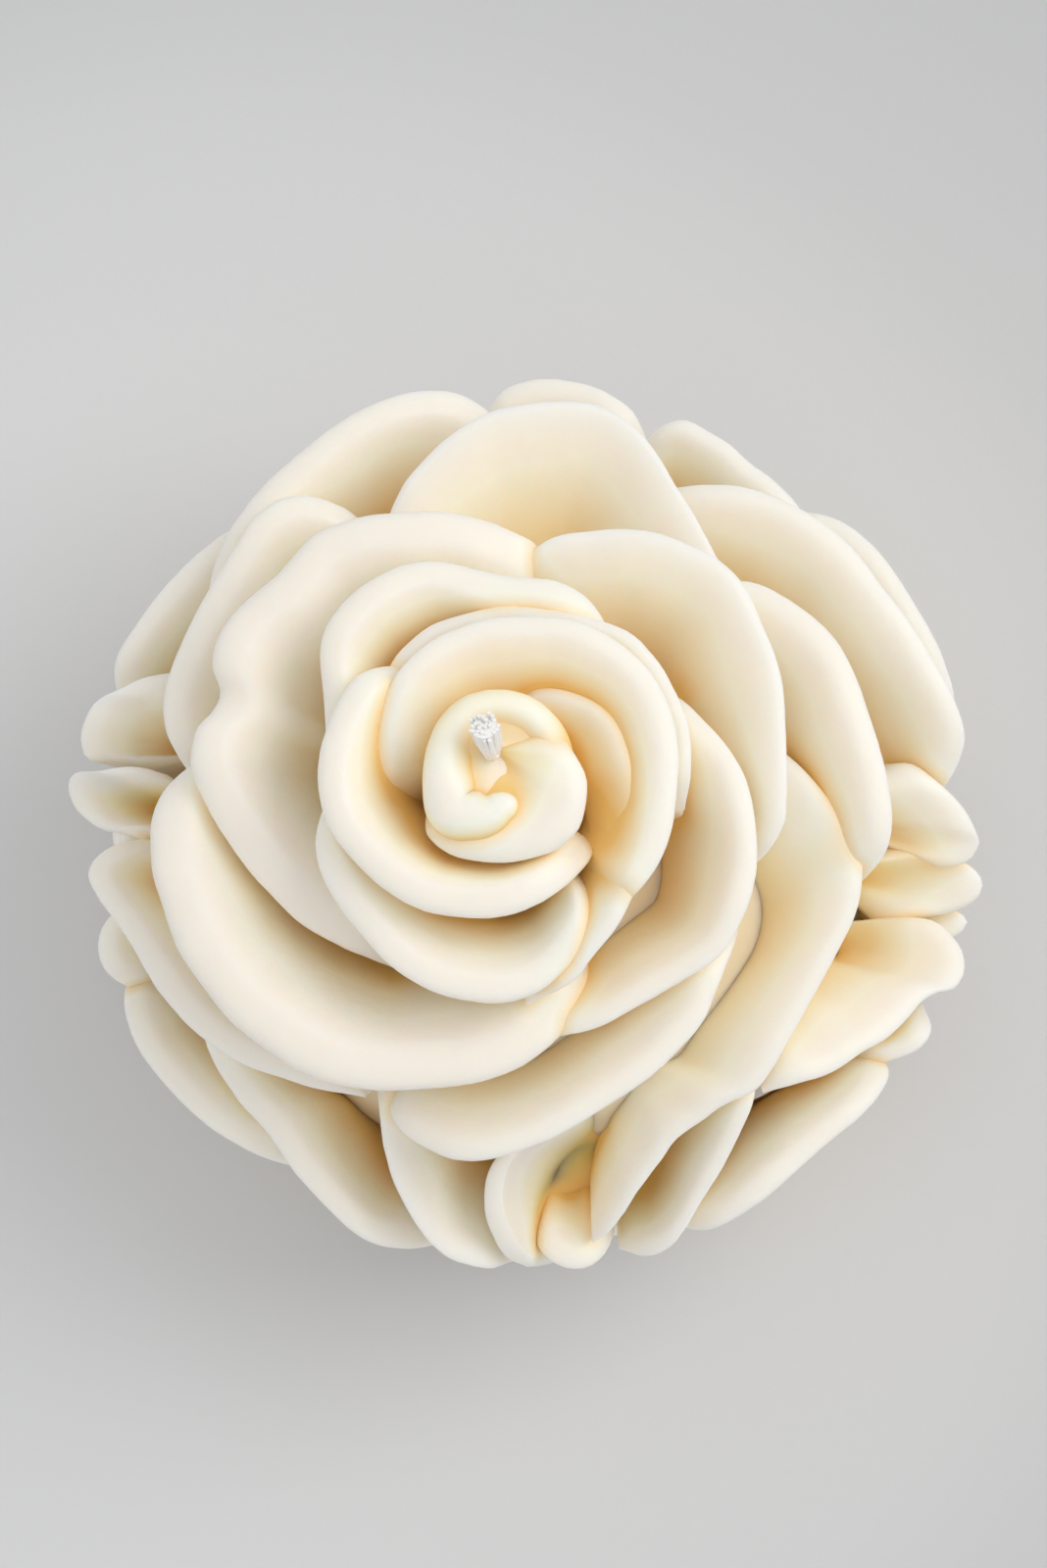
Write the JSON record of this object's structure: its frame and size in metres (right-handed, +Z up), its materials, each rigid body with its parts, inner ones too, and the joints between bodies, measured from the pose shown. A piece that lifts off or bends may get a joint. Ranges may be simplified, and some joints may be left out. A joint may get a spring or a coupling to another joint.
{
  "type": "rose pillar candle",
  "caption": "Ivory pillar candle cast as a large open rose on a solid core, with smaller roses round its sides and a cotton wick held by a metal tab.",
  "frame": {"origin": "the middle of the foot, on the wick's axis, in the plane that the candle stands on", "axes": "+Z up along the wick, +Y to the top of the picture, +X to its right"},
  "size_m": [0.0939, 0.0915, 0.0835],
  "materials": {
    "ivory_wax": "ivory wax with a soft satin skin",
    "core_wax": "the same wax, a little warmer where it lies deep",
    "cotton": "braided cotton with a trace of wax",
    "tinplate": "thin pressed tinplate"
  },
  "bodies": {
    "root": {"back_rose_bud": "ivory_wax", "back_rose_inner_petal": "ivory_wax", "back_rose_middle_petal": "ivory_wax", "back_rose_outer_petal": "ivory_wax", "back_rose_skirt_petal": "ivory_wax", "bud_heart": "ivory_wax", "bud_wrap": "ivory_wax", "front_rose_bud": "ivory_wax", "front_rose_inner_petal": "ivory_wax", "front_rose_middle_petal": "ivory_wax", "front_rose_outer_petal": "ivory_wax", "front_rose_skirt_petal": "ivory_wax", "inner_petal_1": "ivory_wax", "inner_petal_2": "ivory_wax", "inner_petal_3": "ivory_wax", "inner_petal_4": "ivory_wax", "inner_petal_5": "ivory_wax", "inner_petal_6": "ivory_wax", "left_rose_bud": "ivory_wax", "left_rose_inner_petal": "ivory_wax", "left_rose_middle_petal": "ivory_wax", "left_rose_outer_petal": "ivory_wax", "left_rose_skirt_petal": "ivory_wax", "middle_petal_1": "ivory_wax", "middle_petal_2": "ivory_wax", "middle_petal_3": "ivory_wax", "middle_petal_4": "ivory_wax", "outer_petal_1": "ivory_wax", "outer_petal_2": "ivory_wax", "outer_petal_3": "ivory_wax", "outer_petal_4": "ivory_wax", "outer_petal_5": "ivory_wax", "outer_petal_6": "ivory_wax", "outer_petal_7": "ivory_wax", "outer_petal_8": "ivory_wax", "right_rose_bud": "ivory_wax", "right_rose_inner_petal": "ivory_wax", "right_rose_middle_petal": "ivory_wax", "right_rose_outer_petal": "ivory_wax", "right_rose_skirt_petal": "ivory_wax", "shoulder_petal_01": "ivory_wax", "shoulder_petal_02": "ivory_wax", "shoulder_petal_03": "ivory_wax", "shoulder_petal_04": "ivory_wax", "shoulder_petal_05": "ivory_wax", "shoulder_petal_06": "ivory_wax", "shoulder_petal_07": "ivory_wax", "shoulder_petal_08": "ivory_wax", "shoulder_petal_09": "ivory_wax", "shoulder_petal_10": "ivory_wax", "shoulder_petal_11": "ivory_wax", "shoulder_petal_12": "ivory_wax", "shoulder_petal_13": "ivory_wax", "shoulder_petal_14": "ivory_wax", "shoulder_petal_15": "ivory_wax", "shoulder_petal_16": "ivory_wax", "wax_core": "core_wax", "wick": "cotton", "wick_tab": "tinplate"}
  },
  "joints": []
}
